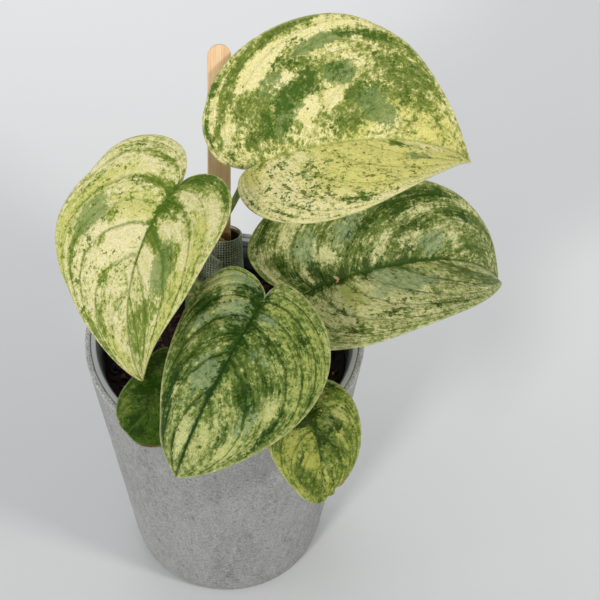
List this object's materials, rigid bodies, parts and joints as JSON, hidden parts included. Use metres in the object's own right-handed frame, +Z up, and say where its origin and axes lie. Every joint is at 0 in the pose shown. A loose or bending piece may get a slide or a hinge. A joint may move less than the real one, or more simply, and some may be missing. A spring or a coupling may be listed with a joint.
{
  "type": "potted satin pothos plant",
  "caption": "Variegated heart-leaved climbing plant in a nursery pot, standing in a grey tapered outer pot, with a netting sleeve and a wooden label stick.",
  "frame": {"origin": "centre of the outer pot's flat underside", "axes": "+Z up, the front of the plant faces -Y, +X is the plant's right as seen from the front"},
  "size_m": [0.2002, 0.1843, 0.2565],
  "materials": {
    "stoneware": "matt cast stoneware, mid grey with fine dark speckle",
    "pot_plastic": "moulded polypropylene, satin grey",
    "potting_mix": "damp peat with bark pieces, rough and dark brown",
    "netting": "woven grey-green netting",
    "fibre_paper": "brown fibre paper, matt",
    "coconut_fibre": "packed dark brown fibre",
    "birch": "plain unfinished birch",
    "green_stem": "smooth olive-green plant skin",
    "leaf_silver_and_cream": "satin leaf, dark green and silver patches over cream",
    "leaf_dark_flecked": "satin leaf, dark green flecked with silver",
    "leaf_cream_veined": "satin leaf, cream yellow with green veins",
    "leaf_green_veined": "satin leaf, yellow green with dark veins",
    "leaf_yellow_green": "satin leaf, yellow green with a green centre",
    "leaf_olive": "satin leaf, dark olive green"
  },
  "bodies": {
    "root": {"outer_pot": "stoneware", "nursery_pot": "pot_plastic", "potting_soil": "potting_mix", "mesh_sleeve": "netting", "sleeve_lining": "fibre_paper", "sleeve_core": "coconut_fibre", "label_stick": "birch", "vine_stem": "green_stem", "side_shoot": "green_stem", "leaf_upper_right": "leaf_silver_and_cream", "leaf_middle_right": "leaf_dark_flecked", "leaf_left": "leaf_cream_veined", "leaf_front": "leaf_green_veined", "leaf_small_right": "leaf_yellow_green", "leaf_small_left": "leaf_olive"}
  },
  "joints": []
}
